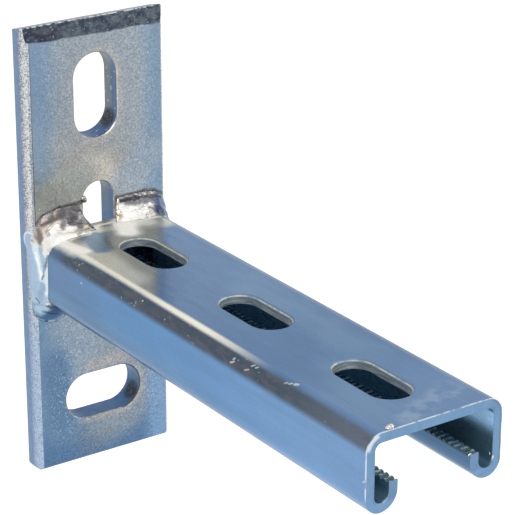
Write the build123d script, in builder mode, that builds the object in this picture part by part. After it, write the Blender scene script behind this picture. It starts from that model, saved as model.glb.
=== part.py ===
"""Cantilever strut arm: a slotted strut channel welded to a flat bar back plate.

Millimetres. X runs across the arm, the arm reaches out along -Y, and +Z is up. The origin
is the middle of the plate's back face, which lies against the wall in the plane Y = 0.
"""

import os

from build123d import *

os.makedirs("parts", exist_ok=True)

# Overall
arm_reach = 161.0
arm_top_z = 6.5

# Back plate, a length of flat bar with slightly crowned edges
plate_width = 45.0
plate_height = 134.5
plate_thickness = 7.0
plate_edge_crown = 0.2
plate_corner_radius = 1.1
plate_end_radius = 0.8
top_bevel_depth = 0.7
top_bevel_height = 4.8
top_back_drop = 1.6

# Slots punched in the plate
plate_slot_width = 14.0
plate_slot_length = 25.0
upper_slot_z = 44.4
lower_slot_z = -47.2
centre_slot_width = 10.0
centre_slot_length = 25.0
centre_slot_z = 6.3
plate_slot_rim = 0.3

# Roll formed channel, open side down
channel_width = 41.0
channel_height = 21.0
channel_wall = 2.6
back_bend_inner_radius = 2.0
lip_groove_width = 4.3
lip_heel_inner_radius = 1.8
lip_height = 7.5

# Serrated lip edges, gripped by a toothed strut nut
tooth_pitch = 2.0
tooth_depth = 0.7
tooth_notch_width = 1.3

# Slots punched in the channel's back
arm_slot_width = 11.0
arm_slot_length = 25.0
arm_slot_pitch = 50.0
arm_slot_end_margin = 25.0
arm_slot_root_clearance = 3.0
arm_slot_rim = 0.7

# Fillet welds round each side of the channel
weld_plate_leg = 6.8
weld_arm_leg = 7.2
weld_hollow = 1.2
weld_toe = 0.4
weld_slot_clearance = 0.3
weld_edge_lap = 0.6
weld_least_cover = 1.0
weld_corner_radius = 7.0
weld_toe_wrap = 45.0

arm_length = arm_reach - plate_thickness
last_slot_reach = arm_length - arm_slot_root_clearance - arm_slot_length / 2
arm_slot_count = 1 + int((last_slot_reach - arm_slot_end_margin) / arm_slot_pitch)
plate_front_y = -plate_thickness
arm_bottom_z = arm_top_z - channel_height
half_width = channel_width / 2
lip_fold_width = 2 * channel_wall + lip_groove_width
lip_inner_x = half_width - lip_fold_width
back_bend_radius = back_bend_inner_radius + channel_wall
heel_radius = lip_heel_inner_radius + channel_wall
toe_radius = lip_fold_width - heel_radius


# Back plate: the bar's section, with its crowned edges, extruded over the height
half_plate = plate_width / 2
crown_x = half_plate - plate_edge_crown

with BuildPart() as back_plate:
    with BuildSketch(Plane.XY.offset(-plate_height / 2)) as bar_section:
        with BuildLine():
            back_edge = Line((-crown_x, 0), (crown_x, 0))
            right_edge = ThreePointArc(
                back_edge @ 1,
                (half_plate, -plate_thickness / 2),
                (crown_x, -plate_thickness),
            )
            front_edge = Line(right_edge @ 1, (-crown_x, -plate_thickness))
            ThreePointArc(front_edge @ 1, (-half_plate, -plate_thickness / 2), back_edge @ 0)
        make_face()
        fillet(bar_section.vertices(), plate_corner_radius)
    extrude(amount=plate_height)

    # The top end is sheared: bevelled at the front, with its face falling to the back
    with BuildSketch(Plane.YZ.offset(-half_plate)):
        with BuildLine():
            Polyline(
                (plate_front_y, plate_height / 2 - top_bevel_height),
                (plate_front_y + top_bevel_depth, plate_height / 2),
                (0, plate_height / 2 - top_back_drop),
                (0, plate_height),
                (plate_front_y, plate_height),
                close=True,
            )
        make_face()
    extrude(amount=plate_width, mode=Mode.SUBTRACT)

    # The bottom end is cropped, with its front and back edges eased
    bottom_face = back_plate.faces().sort_by(Axis.Z)[0]
    fillet(bottom_face.edges().filter_by(Axis.X), plate_end_radius)

    # Mounting slots: upright above the arm and behind it, level below it
    with BuildSketch(Plane.XZ):
        with Locations((0, upper_slot_z)):
            SlotOverall(plate_slot_length, plate_slot_width, rotation=90)
        with Locations((0, lower_slot_z)):
            SlotOverall(plate_slot_length, plate_slot_width)
        with Locations((0, centre_slot_z)):
            SlotOverall(centre_slot_length, centre_slot_width, rotation=90)
    extrude(amount=plate_thickness, mode=Mode.SUBTRACT)
    front_face = back_plate.faces().filter_by(Axis.Y).sort_by(Axis.Y)[0]
    chamfer([edge for rim in front_face.inner_wires() for edge in rim.edges()], plate_slot_rim)

back_plate.part.label = "back_plate"
export_step(back_plate.part, "parts/back_plate.step")


# Strut channel: one strip folded into a C whose lips turn back up inside
with BuildPart() as strut_channel:
    with BuildSketch(Plane.XZ.offset(plate_thickness)):
        with BuildLine():
            back_run = Line((0, arm_top_z), (half_width - back_bend_radius, arm_top_z))
            back_bend = JernArc(back_run @ 1, back_run % 1, back_bend_radius, -90)
            side_run = Line(back_bend @ 1, (half_width, arm_bottom_z + heel_radius))
            lip_heel = JernArc(side_run @ 1, side_run % 1, heel_radius, -90)
            lip_toe = JernArc(lip_heel @ 1, lip_heel % 1, toe_radius, -90)
            Line(lip_toe @ 1, (lip_inner_x, arm_bottom_z + lip_height))
            mirror(about=Plane.YZ)
            offset(amount=channel_wall, side=Side.RIGHT)
        make_face()
    extrude(amount=arm_length)

    # Slots along the back, counted from the free end
    with BuildSketch(Plane.XY.offset(arm_top_z)):
        first_slot_y = -arm_reach + arm_slot_end_margin
        for index in range(arm_slot_count):
            with Locations((0, first_slot_y + index * arm_slot_pitch)):
                SlotOverall(arm_slot_length, arm_slot_width, rotation=90)
    extrude(amount=-2 * channel_wall, mode=Mode.SUBTRACT)
    back_face = strut_channel.faces().filter_by(Axis.Z).sort_by(Axis.Z)[-1]
    chamfer([edge for rim in back_face.inner_wires() for edge in rim.edges()], arm_slot_rim)

    # Notches across both lip edges leave the teeth standing
    tooth_count = int(arm_length / tooth_pitch)
    with BuildSketch(Plane.YZ):
        with Locations((plate_front_y - arm_length / 2, arm_bottom_z + lip_height)):
            with GridLocations(tooth_pitch, 1, tooth_count, 1):
                Polygon(
                    (-tooth_notch_width / 2, 0),
                    (0, -tooth_depth),
                    (tooth_notch_width / 2, 0),
                    (tooth_notch_width / 2, tooth_depth),
                    (-tooth_notch_width / 2, tooth_depth),
                    align=None,
                )
    groove_middle_x = lip_inner_x + channel_wall + lip_groove_width / 2
    extrude(amount=groove_middle_x, both=True, mode=Mode.SUBTRACT)

strut_channel.part.label = "strut_channel"
export_step(strut_channel.part, "parts/strut_channel.step")


# Fillet welds: a hollow faced bead from the centre slot, over the back bend, down the
# side and round under the lip, lapping over the plate's crowned edge
with BuildPart() as weld_right:
    with BuildLine(Plane.XZ.offset(plate_thickness)) as weld_root:
        weld_start_x = centre_slot_width / 2 + plate_slot_rim + weld_slot_clearance
        top_root = Line((weld_start_x, arm_top_z), (half_width - back_bend_radius, arm_top_z))
        corner_root = JernArc(top_root @ 1, top_root % 1, back_bend_radius, -90)
        side_root = Line(corner_root @ 1, (half_width, arm_bottom_z + heel_radius))
        heel_root = JernArc(side_root @ 1, side_root % 1, heel_radius, -90)
        JernArc(heel_root @ 1, heel_root % 1, toe_radius, -weld_toe_wrap)
    with BuildSketch(Plane(origin=weld_root.line @ 0, x_dir=(0, -1, 0), z_dir=(-1, 0, 0))):
        with BuildLine():
            bead_back = Polyline(
                (weld_arm_leg, weld_toe),
                (weld_arm_leg, 0),
                (-weld_edge_lap, 0),
                (-weld_edge_lap, weld_plate_leg),
                (weld_toe, weld_plate_leg),
            )
            SagittaArc(bead_back @ 1, bead_back @ 0, weld_hollow)
        make_face()
    sweep(path=weld_root.line)

    # The bead runs out to the plate's edge and tapers in to the channel's side
    weld_edge_x = max(half_plate, half_width + weld_least_cover)
    weld_end_y = plate_front_y - weld_arm_leg
    with BuildSketch(Plane.XY.offset(-plate_height / 2)):
        with BuildLine():
            Polyline(
                (0, 0),
                (weld_edge_x, 0),
                (weld_edge_x, plate_front_y),
                (half_width + weld_toe, weld_end_y),
                (0, weld_end_y),
                close=True,
            )
        make_face()
    extrude(amount=plate_height, mode=Mode.INTERSECT)

    # Its outline on the plate turns round the channel's corners
    with BuildSketch(Plane.XZ):
        with Locations((0, (arm_top_z + arm_bottom_z) / 2)):
            weld_span_z = channel_height + 2 * weld_plate_leg
            RectangleRounded(2 * weld_edge_x, weld_span_z, weld_corner_radius)
    extrude(amount=arm_reach, mode=Mode.INTERSECT)
    add(back_plate.part, mode=Mode.SUBTRACT)
    add(strut_channel.part, mode=Mode.SUBTRACT)

with BuildPart() as weld_left:
    mirror(weld_right.part, about=Plane.YZ)

weld_left.part.label = "weld_left"
export_step(weld_left.part, "parts/weld_left.step")
weld_right.part.label = "weld_right"
export_step(weld_right.part, "parts/weld_right.step")
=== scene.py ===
"""Zinc plated cantilever strut arm: finishes, weld beads, spatter, lights and camera."""

import math

import bpy
import numpy as np
from mathutils import Matrix, Vector, noise


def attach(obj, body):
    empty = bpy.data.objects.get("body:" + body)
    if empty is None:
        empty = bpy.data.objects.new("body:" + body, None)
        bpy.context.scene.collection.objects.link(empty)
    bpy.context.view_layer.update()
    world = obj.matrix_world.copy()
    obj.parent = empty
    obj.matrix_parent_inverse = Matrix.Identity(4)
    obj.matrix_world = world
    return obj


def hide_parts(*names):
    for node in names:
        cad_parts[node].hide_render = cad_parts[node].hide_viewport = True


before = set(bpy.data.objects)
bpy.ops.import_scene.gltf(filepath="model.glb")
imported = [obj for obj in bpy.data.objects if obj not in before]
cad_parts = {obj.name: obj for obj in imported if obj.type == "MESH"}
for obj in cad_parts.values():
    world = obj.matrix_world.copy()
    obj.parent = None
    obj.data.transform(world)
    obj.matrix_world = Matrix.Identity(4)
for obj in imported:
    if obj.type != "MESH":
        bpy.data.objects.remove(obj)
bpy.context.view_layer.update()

# Sizes in millimetres, as in the CAD model
PLATE_FRONT_Y = -7.0
PLATE_EDGE_X = 22.5
ARM_TOP_Z = 6.5
ARM_END_Y = -161.0
HALF_WIDTH = 20.5
BEND_RADIUS = 4.6
BEND_X = HALF_WIDTH - BEND_RADIUS
BEND_Z = ARM_TOP_Z - BEND_RADIUS
HEEL_RADIUS = 4.4
HEEL_X = HALF_WIDTH - HEEL_RADIUS
HEEL_Z = -10.1
TOE_RADIUS = 5.1
TOE_Z = -9.4
TOP_FLAT = (ARM_TOP_Z - 0.25, ARM_TOP_Z - 0.05)
END_EDGE = (ARM_END_Y + 0.45, ARM_END_Y + 0.2)


# Node helpers
class Nodes:
    """Builds a material's node tree with short calls."""

    def __init__(self, name):
        self.material = bpy.data.materials.new(name)
        self.material.use_nodes = True
        self.tree = self.material.node_tree
        self.shader = self.tree.nodes["Principled BSDF"]
        coords = self.tree.nodes.new("ShaderNodeTexCoord")
        self.point = self.vector("MULTIPLY", coords.outputs["Object"], (1000, 1000, 1000))
        split = self.tree.nodes.new("ShaderNodeSeparateXYZ")
        self.tree.links.new(self.point, split.inputs[0])
        self.x, self.y, self.z = split.outputs
        split = self.tree.nodes.new("ShaderNodeSeparateXYZ")
        self.tree.links.new(coords.outputs["Normal"], split.inputs[0])
        self.facing_x, self.facing_y, self.facing_z = split.outputs

    def put(self, socket, value):
        if isinstance(value, bpy.types.NodeSocket):
            self.tree.links.new(value, socket)
        elif isinstance(value, tuple) and len(value) == 3 and socket.type == "RGBA":
            socket.default_value = (*value, 1)
        else:
            socket.default_value = value

    def math(self, operation, a, b=0.0, c=0.0, clamp=False):
        node = self.tree.nodes.new("ShaderNodeMath")
        node.operation = operation
        node.use_clamp = clamp
        for socket, value in zip(node.inputs, (a, b, c)):
            self.put(socket, value)
        return node.outputs[0]

    def vector(self, operation, a, b=(0, 0, 0), scale=1.0):
        node = self.tree.nodes.new("ShaderNodeVectorMath")
        node.operation = operation
        self.put(node.inputs[0], a)
        self.put(node.inputs[1], b)
        self.put(node.inputs[3], scale)
        return node.outputs["Value" if operation in ("LENGTH", "DISTANCE", "DOT_PRODUCT") else 0]

    def ramp(self, value, low, high, out_low=0.0, out_high=1.0):
        """A smooth step from out_low at low to out_high at high."""
        node = self.tree.nodes.new("ShaderNodeMapRange")
        node.interpolation_type = "SMOOTHSTEP"
        for socket, number in zip(node.inputs, (value, low, high, out_low, out_high)):
            self.put(socket, number)
        return node.outputs[0]

    def band(self, value, centre, half, soft):
        """1 within half of centre, falling to 0 over soft."""
        away = self.math("ABSOLUTE", self.math("SUBTRACT", value, centre))
        return self.ramp(away, half, half + soft, 1, 0)

    def all(self, *masks):
        """The product of several masks."""
        product = masks[0]
        for mask in masks[1:]:
            product = self.math("MULTIPLY", product, mask)
        return product

    def most(self, *masks):
        """The largest of several masks."""
        largest = masks[0]
        for mask in masks[1:]:
            largest = self.math("MAXIMUM", largest, mask)
        return largest

    def blob(self, centre, half, soft):
        """1 within half of a point, falling to 0 over soft."""
        return self.ramp(self.vector("DISTANCE", self.point, centre), half, half + soft, 1, 0)

    def stroke(self, start, end, half, soft):
        """1 within half of a straight line between two points, falling to 0 over soft."""
        start, end = Vector(start), Vector(end)
        along = end - start
        from_start = self.vector("SUBTRACT", self.point, tuple(start))
        share = self.vector("DOT_PRODUCT", from_start, tuple(along / along.length_squared))
        share = self.math("MULTIPLY", share, 1, clamp=True)
        foot = self.vector("SCALE", tuple(along), scale=share)
        return self.ramp(self.vector("DISTANCE", from_start, foot), half, half + soft, 1, 0)

    def on_plate(self, start, end, half, soft):
        """A stroke on the plate's front between two points given by x and z."""
        ends = ((x, PLATE_FRONT_Y, z) for x, z in (start, end))
        return self.stroke(*ends, half, soft)

    def on_arm(self, start, end, half, soft):
        """A stroke between two points given by x and y, on the flat of the arm's top alone."""
        ends = ((x, y, ARM_TOP_Z) for x, y in (start, end))
        return self.all(self.stroke(*ends, half, soft), self.ramp(self.z, *TOP_FLAT))

    def noise(self, scale, detail=3.0, stretch=(1, 1, 1), roughness=0.5, shift=0.0):
        """Noise from 0 to 1; scale is in features per millimetre."""
        node = self.tree.nodes.new("ShaderNodeTexNoise")
        place = self.vector("MULTIPLY", self.point, stretch)
        self.put(node.inputs["Vector"], self.vector("ADD", place, (shift, shift, shift)))
        self.put(node.inputs["Scale"], scale)
        self.put(node.inputs["Detail"], detail)
        self.put(node.inputs["Roughness"], roughness)
        return node.outputs["Fac"]

    def warp(self, scale, amount):
        """Shifts the point that later masks see by up to half of amount, for uneven edges."""
        node = self.tree.nodes.new("ShaderNodeTexNoise")
        self.put(node.inputs["Vector"], self.point)
        self.put(node.inputs["Scale"], scale)
        shift = self.vector("SUBTRACT", node.outputs["Color"], (0.5, 0.5, 0.5))
        self.point = self.vector("ADD", self.point, self.vector("SCALE", shift, scale=amount))

    def cells(self, scale, shift=0.0):
        """A random number from 0 to 1 for each cell."""
        node = self.tree.nodes.new("ShaderNodeTexVoronoi")
        self.put(node.inputs["Vector"], self.vector("ADD", self.point, (shift, shift, shift)))
        self.put(node.inputs["Scale"], scale)
        split = self.tree.nodes.new("ShaderNodeSeparateColor")
        self.tree.links.new(node.outputs["Color"], split.inputs[0])
        return split.outputs[0]

    def mix(self, factor, a, b):
        """The colour a where factor is 0, and b where it is 1."""
        node = self.tree.nodes.new("ShaderNodeMix")
        node.data_type = "RGBA"
        self.put(node.inputs[0], factor)
        self.put(node.inputs[6], a)
        self.put(node.inputs[7], b)
        return node.outputs[2]

    def over(self, color, mask, *screen):
        """color with a screen colour laid over it where the mask is 1."""
        return self.mix(mask, color, srgb(*screen))

    def bump(self, height, distance):
        node = self.tree.nodes.new("ShaderNodeBump")
        self.put(node.inputs["Height"], height)
        self.put(node.inputs["Distance"], distance)
        return node.outputs[0]

    def finish(self, color, roughness, normal, metallic=1.0):
        self.put(self.shader.inputs["Base Color"], color)
        self.put(self.shader.inputs["Roughness"], roughness)
        self.put(self.shader.inputs["Metallic"], metallic)
        self.put(self.shader.inputs["Normal"], normal)
        return self.material


def srgb(red, green, blue):
    """A linear colour from 8 bit screen values."""
    return tuple(((v / 255 + 0.055) / 1.055) ** 2.4 for v in (red, green, blue))


# Finishes

# Soot round the weld toes on the plate's front: a stroke's two ends by x and z, and its half width
SOOT = (
    ((-20.9, 9), (-18.2, 11.7), 0.5),
    ((-18.2, 11.7), (-12.9, 13.2), 0.5),
    ((-12.9, 13.2), (-5.5, 13.6), 0.35),
    ((5.5, 12.4), (15, 12.7), 0.3),
    ((15, 12.7), (18.6, 12.2), 0.3),
    ((18.6, 12.2), (22, 10.4), 0.2),
)


def plate_zinc():
    """Zinc over flat bar: fine grain, warm grey in the middle and bluer outside."""
    n = Nodes("plate_zinc")
    side = n.math("ABSOLUTE", n.x)
    wobble = n.math("SUBTRACT", n.noise(0.09, 2), 0.5)
    height = n.math("MULTIPLY_ADD", wobble, 14, n.z)

    # Broad tints, which run through to the back
    plain = n.mix(n.ramp(height, -66, -46), srgb(84, 113, 146), srgb(106, 134, 160))
    plain = n.mix(n.ramp(height, -20, 60), plain, srgb(134, 153, 171))

    # Warmer and bluer parts of the front
    color = plain
    middle = n.ramp(n.math("MULTIPLY_ADD", wobble, 14, side), 7, 20, 1, 0)
    color = n.over(color, n.all(middle, n.ramp(height, -60, -36, 0, 0.8)), 142, 154, 167)
    warm = n.all(n.ramp(side, 4, 18, 1, 0), n.band(height, 26, 4, 14))
    color = n.over(color, warm, 158, 156, 149)
    upper = n.ramp(height, 20, 34)
    grey = n.ramp(n.math("MULTIPLY_ADD", wobble, 12, n.x), -15, -9)
    grey = n.all(grey, n.ramp(n.x, 17, 14), upper, 0.8)
    color = n.over(color, grey, 149, 157, 164)
    color = n.over(color, n.all(n.ramp(n.x, 16, 20.5, 0, 0.8), upper), 122, 144, 166)
    color = n.over(color, n.all(n.ramp(n.x, -13, -18, 0, 0.7), upper), 124, 147, 174)
    color = n.over(color, n.on_plate((-16, -35), (-14, -52), 2, 5), 92, 121, 150)
    color = n.over(color, n.all(n.blob((-3, PLATE_FRONT_Y, -60), 3, 7), 0.6), 106, 122, 136)
    halo = n.ramp(n.vector("DISTANCE", n.point, (3, PLATE_FRONT_Y, -47)), 12, 20, 0.8, 0)
    color = n.over(color, n.all(halo, n.ramp(n.x, -12, 2)), 132, 142, 152)

    # Warm grains close round the slots
    low_right = n.ramp(n.math("MULTIPLY_ADD", n.x, 0.6, n.math("MULTIPLY", n.z, -1)), 47, 53)
    below = n.all(n.on_plate((-5.5, -47.2), (5.5, -47.2), 7.4, 2.2), low_right)
    above = n.all(n.on_plate((-4, -38), (9, -37), 0.4, 3), 0.7)
    upper = n.all(n.on_plate((0, 38.9), (0, 49.9), 7.2, 2.6), n.ramp(n.x, -6, 4, 0.3, 0.9))
    some = n.ramp(n.cells(2.9, shift=6), 0.1, 0.9, 0.15, 0.75)
    color = n.over(color, n.all(n.most(below, above, upper), some), 186, 174, 160)

    # Bluer and greyer places round the arm
    color = n.over(color, n.all(n.ramp(n.x, 12, 19), n.ramp(n.z, -14, -30)), 116, 147, 179)
    color = n.over(color, n.on_plate((9, 17), (18, 24), 1, 7), 142, 156, 170)
    color = n.over(color, n.on_plate((-20, 15), (-6, 20), 2, 8), 124, 132, 134)

    # Lifted above the arm, where its reflection darkens the plate, and shaded inside the channel
    over_arm = n.all(n.ramp(n.math("MULTIPLY_ADD", n.z, 1.4, n.x), 50, 14), n.ramp(n.z, 6, 9))
    lift = n.mix(over_arm, (1.0, 1.0, 1.0), (1.7, 1.5, 1.3))
    color = n.vector("MULTIPLY", color, lift)
    near_bead = n.ramp(n.on_plate((-15, 15), (-2, 19.5), 3.5, 7.5), 0, 1, 1, 1.38)
    color = n.vector("SCALE", color, scale=near_bead)
    front = n.ramp(n.y, -6, -6.8)
    color = n.mix(front, plain, color)
    shaded = n.all(n.ramp(side, 18.2, 17.8), n.ramp(n.z, 4.1, 3.8), n.ramp(n.z, -12.2, -11.8))
    color = n.over(color, n.all(shaded, front), 48, 70, 84)

    # Soot and heat round the weld toes
    for start, stop, half in SOOT:
        color = n.over(color, n.all(n.on_plate(start, stop, half, 0.7), 0.8), 88, 86, 88)

    # Grain: each grain a little lighter or darker
    grain = n.math("MULTIPLY_ADD", n.cells(3.2), 0.34, 0.83)
    grain = n.math("MULTIPLY", grain, n.ramp(n.noise(1.6, 4, shift=40), 0.3, 0.7, 0.86, 1.16))
    pale = n.all(n.ramp(n.cells(3.0, shift=5), 0.9, 0.97, 0, 0.4), n.ramp(n.z, -64, -52))

    # The sides, with light painted on: blue behind, and bright grains as a painted highlight, ever
    # closer towards the front and round the corner
    edge = n.ramp(n.math("ABSOLUTE", n.facing_x), 0.25, 0.4)
    color = n.over(color, edge, 108, 135, 168)
    cut = n.math("MULTIPLY_ADD", n.math("MAXIMUM", n.math("SUBTRACT", n.z, 62.4), 0), 0.31, n.x)
    turned = n.all(n.ramp(n.y, -6.85, -6.95), n.ramp(cut, -20.8, -20.95))
    corner = n.most(n.all(edge, n.ramp(n.y, -3.6, -4.2)), turned)
    dense = n.most(n.ramp(n.y, -3.8, -6.4, 0, 0.6), n.all(turned, 0.5))
    grains = n.ramp(n.math("ADD", n.cells(3.3, shift=4), dense), 0.5, 1.3)
    low = n.ramp(n.z, -6, -28)
    between = n.mix(low, srgb(118, 124, 142), srgb(124, 144, 174))
    bright = n.mix(grains, between, n.mix(low, srgb(214, 216, 214), srgb(170, 188, 206)))
    # Painted shade in a thin line where the rounded corner meets the front
    crease_shade = n.all(n.band(n.x, -20.75, 0.05, 0.2), n.ramp(n.y, -6.9, -6.95))
    color = n.over(color, crease_shade, 110, 124, 140)

    # The sheared top: a dark, torn face in front with painted shadow on its left part and a painted
    # highlight along its upper edge
    lower = n.math("MULTIPLY_ADD", n.x, -0.012, 62.4)
    lower = n.math("MULTIPLY_ADD", n.math("SUBTRACT", n.noise(0.12, 2, (1, 0, 0)), 0.5), 1.6, lower)
    top = n.math("MULTIPLY_ADD", n.noise(0.9, 3, shift=5), 0.5, n.math("SUBTRACT", n.z, lower))
    bevel = n.all(n.ramp(top, 0, 0.5), n.ramp(n.facing_y, -0.6, -0.8))
    torn = n.noise(0.5, 5, (1, 1, 1.4), 0.65)
    slate = n.mix(n.ramp(torn, 0.35, 0.65), srgb(58, 66, 82), srgb(98, 108, 114))
    shadow = n.all(n.ramp(n.x, -8, -16), n.ramp(n.noise(0.35, 3, shift=13), 0.35, 0.6, 0.3, 0.9))
    slate = n.over(slate, shadow, 50, 52, 70)
    slate = n.over(slate, n.ramp(n.cells(2.2, shift=2), 0.93, 0.98, 0, 0.5), 150, 156, 156)
    color = n.mix(bevel, color, slate)
    # Painted highlight along the top edge
    ridge_highlight = n.all(n.ramp(n.z, 66.85, 67.05), n.ramp(n.noise(0.9, 3, shift=7), 0.4, 0.55))
    color = n.over(color, n.all(ridge_highlight, n.ramp(n.facing_z, 0.6, 0.5)), 206, 210, 210)
    crop = n.ramp(n.facing_z, 0.8, 0.9)
    color = n.mix(crop, color, n.mix(n.noise(0.8, 3), srgb(92, 102, 122), srgb(146, 156, 172)))
    color = n.mix(corner, color, bright)

    # Zinc run smooth where the left weld melted the side
    melt = n.stroke((-22.5, -5.6, 5.4), (-22.5, -7, -11), 1.2, 0.5)
    melt = n.most(melt, n.blob((-22.5, -5.9, 5), 2.4, 0.5))
    color = n.over(color, n.all(melt, edge), 158, 181, 204)
    rim = n.math("SUBTRACT", n.blob((-22.5, -5.9, 5), 2.7, 0.4), n.blob((-22.5, -5.9, 5), 2.1, 0.4))
    color = n.over(color, n.all(rim, edge, n.ramp(n.z, 2, 5)), 206, 218, 228)

    # The slots' walls: blue in front and olive behind, with a dark torn patch at one corner
    slope = n.math("ABSOLUTE", n.facing_y)
    wall = n.all(n.ramp(slope, 0.3, 0.15), n.ramp(side, 14, 13.4), n.ramp(n.z, 61, 59))
    olive = n.ramp(n.math("MULTIPLY_ADD", wobble, 2, n.y), -4.4, -3.4)
    olive = n.all(olive, n.ramp(n.z, 0, 20))
    blue = n.mix(n.ramp(n.z, 0, 20), srgb(72, 104, 140), srgb(86, 108, 140))
    color = n.mix(wall, color, n.mix(olive, blue, srgb(108, 120, 124)))
    floor = n.all(wall, n.ramp(n.facing_z, 0.5, 0.9))
    color = n.over(color, floor, 66, 98, 138)
    color = n.over(color, n.all(floor, n.ramp(n.x, -4, -10)), 68, 100, 118)
    fleck = n.all(wall, n.ramp(n.z, 20, 30), n.ramp(n.cells(1.6, shift=21), 0.93, 0.98, 0, 0.6))
    color = n.over(color, fleck, 176, 180, 170)
    patch = n.most(n.blob((11.5, -4, -51), 2, 2), n.blob((6, -3, 35.5), 2, 2))
    patch = n.all(wall, patch, n.ramp(n.cells(2.4, shift=8), 0.2, 0.6, 0.6, 1))
    color = n.over(color, patch, 50, 52, 58)

    # Their rims: a broken painted highlight round the upper ones, and painted shade round the lower
    # one
    rim = n.ramp(n.band(slope, 0.7, 0.1, 0.1), 0.3, 0.7)
    rim = n.all(rim, n.ramp(side, 14.2, 13.8), n.ramp(n.z, 61, 59), n.ramp(n.facing_x, 0, -0.3))
    broken = n.ramp(n.noise(0.6, 3, shift=3), 0.4, 0.55)
    color = n.over(color, n.all(rim, n.ramp(n.z, 0, 10), broken), 186, 184, 176)
    color = n.over(color, n.all(rim, n.ramp(n.z, 0, -10)), 92, 92, 96)

    # The grain shows on the front, and less towards its sides
    fine = n.math("SUBTRACT", 1, n.most(bevel, corner, melt, wall))
    fine = n.all(fine, n.ramp(n.x, -21, -13, 0.35, 1), n.ramp(n.x, 21, 17, 0.5, 1))
    grain = n.math("MULTIPLY_ADD", n.math("SUBTRACT", grain, 1), fine, 1)
    color = n.vector("SCALE", color, scale=grain)
    color = n.over(color, n.all(pale, fine), 205, 208, 206)
    bump = n.math("ADD", n.noise(1.4, 3, shift=9), n.math("MULTIPLY", n.noise(0.25, 2), 2))
    rough = n.ramp(n.noise(0.6, 2), 0.2, 0.8, 0.36, 0.48)
    return n.finish(color, rough, n.bump(bump, 0.00005))


# Pale dabs left on the dark band of the left bend: a stroke's two ends and its half width
BEND_DABS = (
    ((-18.2, -125.6, 5.9), (-17.7, -126.2, 6.1), 0.15),
    ((-17.8, -126.9, 6.1), (-17.2, -127.4, 6.3), 0.15),
    ((-17.0, -128.5, 6.4), (-16.9, -128.7, 6.4), 0.5),
    ((-19.9, -104.0, 4.2), (-19.6, -105.0, 4.6), 0.1),
    ((-19.3, -104.4, 5.0), (-19.1, -104.6, 5.2), 0.15),
    ((-20.0, -110.2, 4.0), (-19.8, -111.4, 4.3), 0.1),
    ((-18.9, -111.6, 5.3), (-18.6, -112.2, 5.6), 0.12),
    ((-19.0, -113.2, 5.2), (-18.8, -113.7, 5.4), 0.12),
)

# The weld beads' foot lines on the arm's top: a stroke's two ends
WELD_FEET = (
    ((3.6, -10.6, 6.5), (9.7, -12.9, 6.5)),
    ((9.7, -12.9, 6.5), (18.6, -13.8, 6)),
    ((-3.2, -10.4, 6.5), (-7.6, -13.6, 6.5)),
    ((-7.6, -13.6, 6.5), (-13.5, -15.4, 6.5)),
    ((-3, -9.4, 6.5), (4, -9.4, 6.5)),
)

# Glints along the lips' inner edges on the sawn end: a stroke's two ends by x and z
END_GLINTS = (
    ((-13.5, -8), (-13.5, -10.2)),
    ((-14.1, -11.3), (-15.2, -12)),
    ((17.9, -9.4), (17.2, -11.1)),
    ((12.2, -7.2), (13.4, -7.3)),
)


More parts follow.
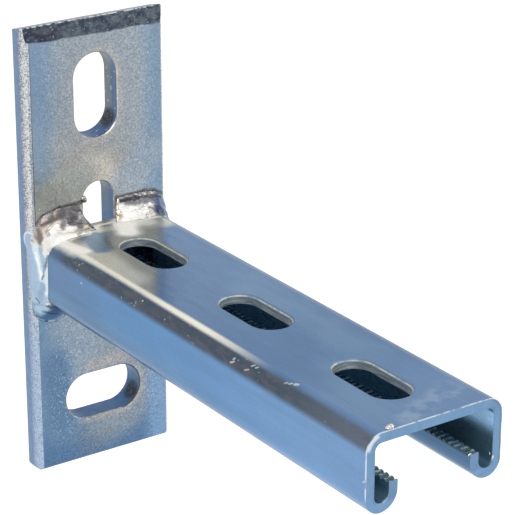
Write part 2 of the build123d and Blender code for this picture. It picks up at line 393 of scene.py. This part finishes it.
def channel_zinc():
    """Bright zinc over rolled strip: clear blue, a painted dark reflection round each bend with
    scuffs in it, and painted highlights.
    """
    n = Nodes("channel_zinc")
    side = n.math("ABSOLUTE", n.x)
    run = n.most(n.math("SUBTRACT", side, BEND_X), 0)
    rise = n.most(n.math("SUBTRACT", n.z, BEND_Z), 0)
    angle = n.math("DEGREES", n.math("ARCTAN2", run, rise))
    arc = n.math("SQRT", n.math("MULTIPLY_ADD", run, run, n.all(rise, rise)))
    streak = n.noise(0.5, 3, (1, 0.03, 1))
    blotch = n.noise(0.08, 3, (1, 0.5, 1))
    left = n.ramp(n.x, 0, -1)

    # Blue flats, paler towards the end
    flank = n.mix(n.ramp(n.y, -16, -60), srgb(90, 124, 162), srgb(88, 134, 180))
    flank = n.over(flank, n.ramp(n.y, -60, -155), 110, 148, 190)
    flank = n.over(flank, n.all(n.ramp(n.z, -4, -12), n.ramp(n.y, -130, -60)), 98, 132, 166)
    back = n.mix(n.ramp(n.y, -60, -110), srgb(90, 124, 162), srgb(79, 115, 156))
    back = n.over(back, n.ramp(n.y, -115, -155), 96, 128, 168)
    cloud = n.ramp(n.noise(0.045, 3, (1, 0.6, 1), shift=31), 0.45, 0.7)
    back = n.over(back, n.all(cloud, 0.6), 104, 138, 168)
    color = n.mix(n.ramp(angle, 60, 88), back, flank)
    shade = n.math("MULTIPLY_ADD", n.math("SUBTRACT", streak, 0.5), 0.16, 1)
    shade = n.math("MULTIPLY_ADD", n.math("SUBTRACT", blotch, 0.5), 0.24, shade)
    color = n.vector("SCALE", color, scale=shade)

    # Painted reflection of the plate: warm and pale on the back, with a clear patch by the centre
    # slot
    n.warp(0.1, 3)
    plate_reflection = n.ramp(n.math("MULTIPLY_ADD", n.y, -0.69, n.x), 29.5, 24.5)
    plate_reflection = n.all(plate_reflection, n.ramp(n.z, *TOP_FLAT))
    color = n.over(color, plate_reflection, 158, 157, 146)
    color = n.over(color, n.all(n.on_arm((-13, -20), (-15, -50), 1.5, 5), plate_reflection), 206, 206, 194)
    color = n.over(color, n.on_arm((-7, -16), (-10.5, -25), 2.4, 2.4), 126, 150, 168)
    color = n.over(color, n.on_arm((-5, -19.5), (-7.5, -26), 0.3, 2), 120, 130, 130)
    color = n.over(color, n.on_arm((-1, -17.5), (-4, -25), 1.2, 2.6), 164, 166, 158)

    # Mist near the free end
    mist = n.ramp(n.noise(0.25, 4, (1, 1, 1), 0.6), 0.4, 0.62, 0, 0.6)
    color = n.over(color, n.all(n.on_arm((-6, -158), (13, -151), 1.2, 4), mist), 138, 162, 186)

    # Painted highlights by the right weld and beside the centre slot
    color = n.over(color, n.on_arm((8, -14), (15, -17), 1.6, 5), 198, 197, 186)
    color = n.over(color, n.on_arm((9, -14.4), (12, -15.6), 1, 2), 238, 236, 226)
    color = n.over(color, n.on_arm((-3, -12.6), (1.5, -14.6), 1, 2), 216, 213, 200)

    # Painted highlight spilling from the right weld over the back, and painted highlights along the
    # foot lines of both welds
    weld_glare = n.on_arm((6, -10.5), (2.5, -19), 1.7, 4)
    color = n.over(color, weld_glare, 255, 252, 244)
    for start, stop in WELD_FEET:
        foot = n.all(n.stroke(start, stop, 0.3, 0.8), 0.9)
        color = n.over(color, foot, 246, 242, 230)
        weld_glare = n.most(weld_glare, foot)

    # Dark band round each bend, a painted reflection with scuffs in it, and a painted highlight
    # line beside it on the left one
    flat = n.math("MINIMUM", n.math("SUBTRACT", side, BEND_X), 0)
    wander = n.math("MULTIPLY_ADD", flat, 12.5, angle)
    wander = n.math("MULTIPLY_ADD", n.math("SUBTRACT", streak, 0.5), 6, wander)
    late = n.math("SUBTRACT", wander, n.ramp(n.y, -36, -16, 0, 22))
    dark = n.all(n.ramp(late, 12, 36), n.ramp(wander, 94, 68), n.ramp(n.y, -14, -24, 0.4, 1))
    slate = n.mix(n.ramp(n.y, -160, -120), srgb(98, 110, 126), srgb(72, 84, 98))
    scuff = n.noise(0.6, 4, (1, 0.35, 1), 0.65, 17)
    slate = n.over(slate, n.ramp(scuff, 0.42, 0.66, 0, 0.7), 96, 97, 104)
    color = n.mix(dark, color, slate)
    drift = n.math("MULTIPLY_ADD", n.math("SUBTRACT", blotch, 0.5), 10, n.y)
    spread = n.all(n.math("SUBTRACT", wander, 12), n.ramp(n.y, -15, -38, 0.6, 1))
    spread = n.math("ADD", spread, 12)
    line = n.all(n.band(spread, 13, 4, 15), n.ramp(drift, -122, -86), left, n.ramp(spread, 38, 26))
    line = n.all(line, n.ramp(n.band(n.y, -46, 8, 20), 0, 1, 1, 0.85))
    color = n.over(color, line, 252, 248, 230)
    # Painted highlights by the left weld: a hazy streak and a bright glow
    hazy_highlight = n.all(n.stroke((-18.4, -16, 5.5), (-18.0, -25, 5.8), 0.4, 1.5), 0.7)
    color = n.over(color, hazy_highlight, 180, 182, 172)
    glow = n.stroke((-16.6, -13, 6.4), (-15.6, -24, 6.5), 0.9, 2.8)
    color = n.over(color, glow, 255, 253, 244)
    soft = n.most(n.all(n.most(line, glow, weld_glare), 0.95), n.all(plate_reflection, 0.5))

    # Dirt specks and fine scratches on the dark band
    speck = n.all(n.ramp(n.cells(2.2, shift=3), 0.97, 0.985), n.band(angle, 50, 22, 6))
    speck = n.all(speck, n.ramp(n.noise(0.12, 2, shift=2), 0.5, 0.62))
    color = n.over(color, speck, 178, 182, 184)
    for start, stop, half in BEND_DABS:
        color = n.over(color, n.all(n.stroke(start, stop, half, 0.3), 0.85), 196, 196, 194)

    # Inside the channel, with painted light and shade: darker towards the free end, paler high on
    # the inner walls, and palest where the right wall is lit near the end
    inside = n.all(n.ramp(side, 18.3, 18.1), n.ramp(n.z, 4.1, 3.95), n.ramp(n.z, -12, -11.8))
    color = n.over(color, inside, 130, 168, 190)
    color = n.over(color, n.all(inside, n.ramp(n.y, -110, -145)), 98, 134, 152)
    color = n.over(color, n.all(inside, n.ramp(n.z, -1, 2.5), n.ramp(side, 15, 17)), 120, 168, 216)
    lit = n.all(n.ramp(n.z, -5, 0), n.ramp(n.z, 3.2, 2.2), n.ramp(n.x, 15.5, 17))
    color = n.over(color, n.all(inside, lit, n.ramp(n.y, -120, -150)), 158, 202, 240)

    # The lips, with painted shade in the teeth and painted glints on their tips here and there
    within = n.ramp(side, 13.7, 13.4)
    across = n.ramp(n.math("ABSOLUTE", n.facing_y), 0.8, 0.6)
    color = n.over(color, n.all(within, n.ramp(n.z, -6.8, -7.2), across), 84, 122, 160)
    teeth = n.all(within, n.ramp(side, 10, 10.3), n.ramp(n.z, -7.9, -7.75), n.ramp(n.z, -6, -6.6))
    color = n.over(color, n.all(teeth, n.ramp(n.facing_y, -0.98, -0.9)), 62, 88, 98)
    tips = n.ramp(n.cells(1.1, shift=15), 0.4, 0.6, 0.1, 0.8)
    color = n.over(color, n.all(teeth, n.ramp(n.z, -7.12, -7.02), tips), 190, 202, 206)

    # Painted shade under the heel, and a dull painted shade round the right bend
    under = n.all(n.ramp(n.facing_z, -0.3, -0.8), n.ramp(side, 13, 15))
    color = n.over(color, under, 60, 88, 122)
    right = n.all(n.ramp(angle, 8, 30), n.ramp(n.x, 0, 1), n.ramp(arc, 3.8, 4.2))
    color = n.over(color, n.all(right, 0.8), 84, 112, 140)
    soft = n.most(soft, n.all(right, 0.9))

    # The sawn end, with a painted highlight along its outer edge and round its upper left corner,
    # and painted glints on the lips' inner edges
    end = n.ramp(n.facing_y, -0.8, -0.95)
    color = n.mix(end, color, n.mix(n.noise(0.4, 4), srgb(98, 132, 166), srgb(118, 151, 184)))
    outer = n.most(n.ramp(arc, 4.38, 4.48), n.ramp(side, 20.34, 20.44))
    broken = n.ramp(n.noise(0.3, 3, shift=11), 0.38, 0.5, 0.1, 1)
    last = n.ramp(n.y, *END_EDGE)
    rim_highlight = n.all(outer, last, n.ramp(n.z, -12, -8), broken)
    corner = n.all(n.ramp(arc, 3.1, 3.9), n.ramp(angle, 6, 20), n.ramp(angle, 90, 72), end, left)
    color = n.over(color, n.most(rim_highlight, corner), 198, 206, 214)
    for glint in END_GLINTS:
        ends = ((x, ARM_END_Y, z) for x, z in glint)
        color = n.over(color, n.all(n.stroke(*ends, 0.18, 0.3), last), 206, 212, 214)

    # Slots, with light painted on: the rim turns in softly to a thin painted highlight over a
    # layered wall
    near_slot = n.all(n.ramp(side, 7.2, 6.8), n.ramp(n.y, ARM_END_Y + 1, ARM_END_Y + 2))
    slope = n.math("ABSOLUTE", n.facing_z)
    layers = n.noise(1.6, 3, (0.15, 0.1, 1), 0.7)
    wall = n.all(n.ramp(slope, 0.4, 0.2), n.ramp(n.z, 3.8, 3.95), near_slot)
    tone = n.mix(n.ramp(layers, 0.35, 0.65), srgb(100, 116, 128), srgb(160, 170, 172))
    color = n.mix(wall, color, n.mix(n.ramp(n.z, 4.6, 5.8), tone, srgb(120, 134, 144)))
    rim = n.all(n.band(slope, 0.7, 0.12, 0.12), near_slot, n.ramp(n.z, 5.5, 5.6))
    tone = n.mix(n.ramp(n.y, -40, -62), srgb(134, 140, 138), srgb(112, 138, 162))
    color = n.mix(rim, color, tone)
    broken = n.ramp(n.noise(0.5, 3, shift=19), 0.35, 0.55, 0.25, 1)
    color = n.over(color, n.all(rim, n.band(n.z, 6.05, 0.06, 0.12), broken), 206, 206, 198)

    # Duller where light is painted on, inside and in the slots
    soft = n.most(soft, n.all(n.most(n.all(inside, 0.6), wall, rim), 0.85))
    metallic = n.math("SUBTRACT", 1, soft)
    bump = n.math("ADD", streak, n.noise(0.2, 2, (1, 0.2, 1)))
    rough = n.ramp(n.noise(0.5, 3, (1, 0.2, 1)), 0.3, 0.7, 0.24, 0.32)
    n.shader.inputs["Specular IOR Level"].default_value = 0.1
    return n.finish(color, rough, n.bump(bump, 0.00002), metallic)


# Painted highlights, reflections and shade on the weld beads, among stains and burns: a stroke's
# two ends, its half width, softness and colour
WELD_LIGHT_AND_STAINS = (
    ((-18.5, -9.5, 9.5), (-15, -9.5, 10.5), 1.0, 2.4, (204, 194, 184)),
    ((-16, -11.5, 8.4), (-10.5, -12.6, 7.4), 1.3, 1.6, (238, 231, 223)),
    ((-19.6, -12.4, 6.4), (-17.2, -12.8, 7), 1.0, 1.4, (244, 242, 238)),
    ((-18.8, -8.2, 10.6), (-13, -8.3, 11.6), 0.7, 1.4, (112, 106, 102)),
    ((-17.8, -13.4, 6.8), (-12.5, -14.6, 6.8), 1.1, 1.6, (255, 253, 248)),
    ((-11.6, -8.4, 11.8), (-7.6, -8.2, 11.2), 1.5, 1.5, (98, 96, 98)),
    ((-11.4, -10, 9.8), (-9, -9.8, 9.8), 0.7, 1.1, (88, 84, 88)),
    ((-6.8, -9, 10.4), (-6.2, -10.6, 8.6), 0.7, 1.2, (146, 142, 140)),
    ((-9, -11.8, 8), (-6.8, -11.8, 7.8), 0.3, 1.0, (168, 160, 146)),
    ((-5.9, -10.8, 8), (-4.6, -11.4, 6.8), 0.2, 0.6, (104, 96, 92)),
    ((-21, -8.4, 9), (-20.8, -9.8, 6), 0.5, 1.0, (134, 124, 118)),
    ((-20.4, -11.6, 5.8), (-20.2, -12.4, 3), 0.5, 1.2, (236, 232, 226)),
    ((6.8, -9.4, 9), (11, -10.6, 8), 1.6, 2.6, (242, 240, 235)),
    ((9, -8.5, 10.9), (19, -8.8, 10.2), 0.5, 1.4, (128, 130, 134)),
    ((5.2, -8, 11), (5.2, -10, 8), 0.4, 1.0, (176, 164, 150)),
    ((18.9, -8.6, 10), (17.9, -11.8, 7.4), 1.1, 1.5, (62, 76, 102)),
    ((20.8, -9, 8.4), (20.4, -12.4, 5.4), 1.0, 1.4, (108, 134, 162)),
    ((7, -7.9, 11.7), (12.6, -8.1, 11.5), 0.25, 0.6, (66, 64, 70)),
    ((12.6, -8.1, 11.5), (19.4, -8.3, 10.7), 0.25, 0.6, (66, 66, 74)),
    ((-22.0, -8.4, 4), (-21.5, -11, -5), 0.2, 1.6, (216, 226, 232)),
    ((-21.9, -8.8, 2), (-21.5, -11, -5), 0.1, 0.5, (238, 242, 242)),
    ((-20.5, -13, 2.4), (-21.4, -11.2, -5), 0.1, 0.6, (122, 130, 134)),
    ((-20.7, -13, -2), (-20.9, -12.4, -9), 0.5, 1.0, (206, 216, 222)),
    ((-21.3, -11, -7), (-21.6, -9.8, -12), 0.4, 1.2, (146, 168, 188)),
    ((-22, -8.4, -12), (-21.6, -9, -12.8), 0.15, 0.4, (92, 98, 104)),
    ((-18.4, -10.0, 9.5), (-18.8, -10.6, 7.9), 0.3, 1.0, (164, 156, 148)),
    ((-14.2, -10.9, 9.1), (-13.0, -9.9, 9.8), 0.3, 1.1, (140, 140, 138)),
    ((-9.2, -11.6, 8.0), (-8.0, -10.0, 9.0), 0.4, 1.0, (120, 121, 121)),
    ((-10.2, -13.1, 6.9), (-9.6, -12.6, 7.3), 0.3, 0.9, (172, 172, 164)),
)


def weld_zinc():
    """Zinc over a weld bead: bright and cream, burnt at its toes, melted blue on the left side,
    with painted highlights, reflections and shade.
    """
    n = Nodes("weld_zinc")
    speck = n.noise(0.9, 4, roughness=0.65)
    n.warp(0.45, 1.6)
    color = n.mix(n.ramp(speck, 0.35, 0.6), srgb(156, 154, 152), srgb(224, 220, 212))
    flank = n.all(n.ramp(n.math("ABSOLUTE", n.x), 20.2, 20.8), n.ramp(n.z, 5.5, 3.5))
    color = n.over(color, flank, 158, 182, 204)
    toe = n.all(n.ramp(n.y, -8.6, -7.6), n.ramp(n.z, 8, 10), n.ramp(speck, 0.75, 0.4, 0, 0.8))
    color = n.over(color, toe, 96, 92, 96)
    for start, stop, half, soft, tone in WELD_LIGHT_AND_STAINS:
        color = n.over(color, n.stroke(start, stop, half, soft), *tone)
    coarse = n.all(n.ramp(n.x, 8, 14), n.ramp(speck, 0.52, 0.42, 0, 0.6), n.ramp(n.x, 19, 17))
    color = n.over(color, coarse, 118, 116, 116)

    # The puddle under the channel
    puddle = n.ramp(n.z, -12.8, -14.2)
    color = n.over(color, puddle, 62, 92, 126)
    color = n.over(color, n.all(puddle, n.blob((-20.6, -8.6, -14.8), 1.2, 2.6)), 158, 182, 200)
    color = n.over(color, n.all(puddle, n.blob((-16.4, -9, -16.4), 0.8, 2.4)), 50, 72, 104)
    toe = n.all(puddle, n.ramp(n.y, -7.7, -7.2), n.ramp(speck, 0.4, 0.5))
    color = n.over(color, toe, 142, 160, 174)

    # Duller where a highlight is painted on the white foot of the left bead
    soft = n.all(n.stroke((-17.8, -13.4, 6.8), (-12.5, -14.8, 6.8), 1.4, 2.2), 0.8)
    rough = n.ramp(speck, 0.3, 0.7, 0.34, 0.22)
    return n.finish(color, rough, n.bump(n.noise(1.0, 4), 0.0001), n.math("SUBTRACT", 1, soft))


def outline(length):
    """A point of the channel's outline and its outward direction, from the arm's middle on."""
    bend, heel = BEND_RADIUS * math.pi / 2, HEEL_RADIUS * math.pi / 2
    flank = BEND_Z - HEEL_Z
    if length < BEND_X:
        return (length, ARM_TOP_Z), (0, 1)
    length -= BEND_X
    if length < bend:
        angle = length / BEND_RADIUS
        centre, radius = (BEND_X, BEND_Z), BEND_RADIUS
    elif length < bend + flank:
        return (HALF_WIDTH, BEND_Z - (length - bend)), (1, 0)
    elif length < bend + flank + heel:
        angle = math.pi / 2 + (length - bend - flank) / HEEL_RADIUS
        centre, radius = (HEEL_X, HEEL_Z), HEEL_RADIUS
    else:
        angle = math.pi + (length - bend - flank - heel) / TOE_RADIUS
        centre, radius = (HEEL_X, TOE_Z), TOE_RADIUS
    out = (math.sin(angle), math.cos(angle))
    return (centre[0] + radius * out[0], centre[1] + radius * out[1]), out


def closed_tube(name, rings):
    """A smooth closed mesh through rings of points in millimetres, with a fan over each end."""
    count = len(rings[0])
    points = [p for ring in rings for p in ring]
    faces = []
    for row in range(len(rings) - 1):
        for i in range(count):
            j = (i + 1) % count
            low, high = row * count, (row + 1) * count
            faces.append((low + i, low + j, high + j, high + i))
    for ring, start, turn in ((rings[0], 0, -1), (rings[-1], (len(rings) - 1) * count, 1)):
        faces += [(len(points), start + i, start + (i + 1) % count)[::turn] for i in range(count)]
        points.append(sum(ring, Vector()) / count)
    return new_piece(name, points, faces)


def new_piece(name, points, faces):
    """A smooth shaded object from points in millimetres."""
    mesh = bpy.data.meshes.new(name)
    mesh.from_pydata([Vector(p) * 0.001 for p in points], [], faces)
    mesh.shade_smooth()
    piece = bpy.data.objects.new(name, mesh)
    bpy.context.scene.collection.objects.link(piece)
    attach(piece, "root")
    return piece


# Points across a bead's face, spacing of its rings, depth of its hidden side in the steel,
# length over which its ends round off, and how far its start spreads along the arm
BEAD_ACROSS = 44
BEAD_STEP = 0.25
BEAD_SUNK = 0.4
BEAD_END_ROUND = 1.2
BEAD_FLARE = 1.9

# Each bead's course: length along the channel's outline, leg on the plate, how far behind
# the plate's front the bead starts, leg along the arm, hollow and thickness
LEFT_BEAD = (
    (5.9, 6.2, 0.0, 5.2, 1.5, 0.5),
    (6.6, 6.7, 0.0, 6.0, 1.5, 0.6),
    (12.0, 7.0, 0.0, 6.9, 1.45, 0.6),
    (15.9, 6.6, 0.0, 7.4, 1.35, 0.7),
    (17.4, 5.6, 0.0, 7.6, 1.3, 0.6),
    (19.7, 3.6, 0.2, 7.2, 1.2, 0.4),
    (21.5, 2.3, 0.6, 6.6, 1.1, 0.3),
    (24.0, 1.95, 0.8, 6.0, 1.0, 0.3),
    (34.0, 1.95, 0.8, 5.6, 1.0, 0.3),
    (37.0, 3.2, 0.4, 5.2, 1.2, 0.3),
    (39.5, 5.6, 0.0, 4.4, 1.3, 0.4),
    (42.5, 6.7, 0.0, 3.6, 1.4, 0.4),
    (46.0, 5.2, 0.0, 2.6, 1.4, 0.4),
)
RIGHT_BEAD = (
    (5.5, 6.0, 0.0, 3.6, 1.4, 0.5),
    (8.0, 6.1, 0.0, 4.7, 1.4, 0.6),
    (12.0, 6.3, 0.0, 5.4, 1.4, 0.7),
    (15.9, 6.0, 0.0, 5.6, 1.35, 0.7),
    (18.1, 5.8, 0.0, 6.2, 1.3, 0.7),
    (19.7, 4.2, 0.2, 6.6, 1.2, 0.4),
    (21.5, 2.3, 0.6, 6.4, 1.1, 0.3),
    (24.0, 1.95, 0.8, 6.0, 1.0, 0.3),
    (34.0, 1.95, 0.8, 5.6, 1.0, 0.3),
    (37.0, 2.8, 0.4, 5.6, 1.2, 0.3),
    (39.5, 4.4, 0.0, 5.4, 1.3, 0.4),
    (42.5, 5.0, 0.0, 5.0, 1.4, 0.4),
    (46.0, 3.6, 0.0, 3.6, 1.4, 0.4),
)


def weld_bead(name, node, side, course):
    """A weld bead laid along one side of the channel, lumpy and melted into the plate."""
    course = np.array(course).T
    first, last = course[0][0], course[0][-1]
    rings = []
    for length in np.arange(first, last + 0.01, BEAD_STEP):
        leg, behind, arm_leg, hollow, thick = (np.interp(length, course[0], c) for c in course[1:])
        (x, z), (out_x, out_z) = outline(length)
        rounding = 1 - min(min(length - first, last - length) / BEAD_END_ROUND, 1)
        leg *= math.sqrt(1 - rounding ** 2) * 0.35 + 0.65
        ring = []
        for step in range(BEAD_ACROSS + 1):
            share = step / BEAD_ACROSS
            rise = leg * (1 - share) ** hollow
            reach = (arm_leg + behind) * share ** hollow - behind
            skin = thick * (1 - abs(2 * share - 1) ** 6)
            place = Vector((length, rise * 1.3, reach * 1.3 + 30 * side))
            lumps = noise.noise(place * 0.35) * 0.4 + noise.noise(place * 1.1) * 0.12
            skin += lumps * min(1, 5 * share, 5 * (1 - share))
            rise += skin * math.sin(share * math.pi / 2)
            reach += skin * math.cos(share * math.pi / 2)
            flare = BEAD_FLARE * math.exp(-(length - first) / 1.6) * max(reach, 0) / arm_leg
            px = min(x + out_x * rise - flare, PLATE_EDGE_X - 0.02)
            ring.append(Vector((side * px, PLATE_FRONT_Y - reach, z + out_z * rise)))
        for rise, reach in ((0, arm_leg), (0, -behind), (leg, -behind)):
            rise, reach = rise - BEAD_SUNK, reach - BEAD_SUNK
            px = min(x + out_x * rise, PLATE_EDGE_X - 0.05)
            ring.append(Vector((side * px, PLATE_FRONT_Y - reach, z + out_z * rise)))
        rings.append(ring if side > 0 else ring[::-1])
    bead = closed_tube(name, rings)
    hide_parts(node)
    return bead


def spatter(name, centre, radius, squash, seed):
    """A frozen drop of weld metal, uneven and pressed against what it lies on."""
    rows, columns = 12, 20
    rings = []
    for row in range(1, rows):
        polar = math.pi * row / rows
        ring = []
        for step in range(columns):
            turn = math.tau * step / columns
            level = math.sin(polar)
            way = Vector((level * math.cos(turn), level * math.sin(turn), math.cos(polar)))
            swell = radius * (1 + 0.35 * noise.noise(way * 1.3 + Vector((seed, 0, 0))))
            ring.append(Vector(centre) + Vector(a * b for a, b in zip(way, squash)) * swell)
        rings.append(ring[::-1])
    drop = closed_tube(name, rings)
    return drop


# Each drop: centre, radius, and how far it spreads along x, y and z
DROPS = (
    ((-4.9, -7.1, 14.4), 1.0, (1.0, 0.8, 1.0)),
    ((6.3, -7.2, 9.6), 0.8, (1.2, 0.7, 1.0)),
    ((-12.9, -159.9, 6.5), 1.1, (1.2, 0.7, 0.75)),
    ((-20.6, -160.4, -5.1), 0.5, (0.9, 0.8, 0.7)),
    ((11.4, -160.4, -7.3), 0.55, (1.2, 0.7, 0.7)),
    ((17.4, -160.6, -8.6), 0.35, (0.8, 0.8, 1.3)),
    ((6.4, -7.0, 13.2), 0.45, (1.0, 0.6, 1.0)),
    ((-19.2, -7.0, 14.2), 0.4, (1.0, 0.6, 1.0)),
    ((-20.5, -31.5, 0.6), 0.35, (0.5, 1.4, 0.8)),
    ((-18.9, -61.0, 5.2), 0.3, (0.8, 1.2, 0.8)),
)


# Stage, in metres: the floor's size, height and glow in the camera's eye, and how brightly
# the white surround lights the part
FLOOR_SIZE = 12
FLOOR_Z = -0.4
FLOOR_GLOW = 0.55
SURROUND_LIGHT = 0.6

# The camera's lens in millimetres, its place, and its azimuth, elevation and roll in degrees
CAMERA_LENS = 159.335
CAMERA_PLACE = Vector((-0.309395, -0.534751, 0.241416))
CAMERA_TURN = (-34.641, 21.961, 0.0965)


def build_stage():
    """A pale floor far enough below that its shadow stays soft, and a plain white surround."""
    bpy.ops.mesh.primitive_plane_add(size=FLOOR_SIZE, location=(0, 0, FLOOR_Z))
    floor = bpy.context.object
    floor.name = "floor"
    material = bpy.data.materials.new("floor_paper")
    material.use_nodes = True
    tree = material.node_tree
    shader = tree.nodes["Principled BSDF"]
    shader.inputs["Base Color"].default_value = (0.86, 0.86, 0.86, 1)
    shader.inputs["Roughness"].default_value = 0.9
    shader.inputs["Emission Color"].default_value = (1, 1, 1, 1)
    tree.links.new(seen_directly(tree, FLOOR_GLOW), shader.inputs["Emission Strength"])
    floor.data.materials.append(material)

    world = bpy.data.worlds.new("surround")
    bpy.context.scene.world = world
    world.use_nodes = True
    tree = world.node_tree
    background = tree.nodes["Background"]
    background.inputs["Color"].default_value = (1, 1, 1, 1)
    ray = seen_directly(tree, 1.0)
    lift = tree.nodes.new("ShaderNodeMapRange")
    tree.links.new(ray, lift.inputs[0])
    lift.inputs["To Min"].default_value = SURROUND_LIGHT
    tree.links.new(lift.outputs[0], background.inputs["Strength"])


def seen_directly(tree, strength):
    """strength for camera, glossy and transmission rays, and 0 for the rest."""
    path = tree.nodes.new("ShaderNodeLightPath")
    total = path.outputs["Is Camera Ray"]
    for name in ("Is Glossy Ray", "Is Transmission Ray"):
        node = tree.nodes.new("ShaderNodeMath")
        node.operation = "MAXIMUM"
        tree.links.new(total, node.inputs[0])
        tree.links.new(path.outputs[name], node.inputs[1])
        total = node.outputs[0]
    scale = tree.nodes.new("ShaderNodeMath")
    scale.operation = "MULTIPLY"
    tree.links.new(total, scale.inputs[0])
    scale.inputs[1].default_value = strength
    return scale.outputs[0]


def area_light(name, place, aim, size, watts):
    """A round, soft white lamp that faces aim."""
    data = bpy.data.lights.new(name, "AREA")
    data.shape = "DISK"
    data.size = size
    data.energy = watts
    light = bpy.data.objects.new(name, data)
    light.location = place
    light.rotation_euler = (Vector(aim) - Vector(place)).to_track_quat("-Z", "Y").to_euler()
    bpy.context.scene.collection.objects.link(light)


def build_camera():
    """The photograph's view: 35 degrees left of the arm's axis and 22 degrees above it."""
    data = bpy.data.cameras.new("camera")
    data.sensor_width = 36
    data.lens = CAMERA_LENS
    data.clip_start = 0.05
    data.clip_end = 50
    camera = bpy.data.objects.new("camera", data)
    azimuth, elevation, roll = (math.radians(a) for a in CAMERA_TURN)
    back = Vector((
        math.sin(azimuth) * math.cos(elevation),
        -math.cos(azimuth) * math.cos(elevation),
        math.sin(elevation),
    ))
    right = Vector((math.cos(azimuth), math.sin(azimuth), 0))
    up = back.cross(right)
    turned_right = right * math.cos(roll) + up * math.sin(roll)
    turned_up = back.cross(turned_right)
    turn = Matrix((turned_right, turned_up, back)).transposed()
    camera.matrix_world = Matrix.Translation(CAMERA_PLACE) @ turn.to_4x4()
    bpy.context.scene.collection.objects.link(camera)
    bpy.context.scene.camera = camera


# Build
materials = {
    "back_plate": plate_zinc(),
    "strut_channel": channel_zinc(),
    "weld": weld_zinc(),
}
for name in ("back_plate", "strut_channel"):
    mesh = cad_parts[name].data
    mesh.materials.clear()
    mesh.materials.append(materials[name])

beads = (
    weld_bead("weld_left_bead", "weld_left", -1, LEFT_BEAD),
    weld_bead("weld_right_bead", "weld_right", 1, RIGHT_BEAD),
)
drops = tuple(spatter(f"spatter_{i + 1}", *drop, seed=i * 7.3) for i, drop in enumerate(DROPS))
for piece in beads + drops:
    piece.data.materials.append(materials["weld"])

build_stage()
middle = (0, -0.06, 0)
area_light("key", (-0.5, -0.9, 1.1), middle, size=0.7, watts=7)
area_light("fill", (0.9, -0.5, 0.5), middle, size=0.8, watts=2)
build_camera()
bpy.context.scene.view_settings.view_transform = "Standard"
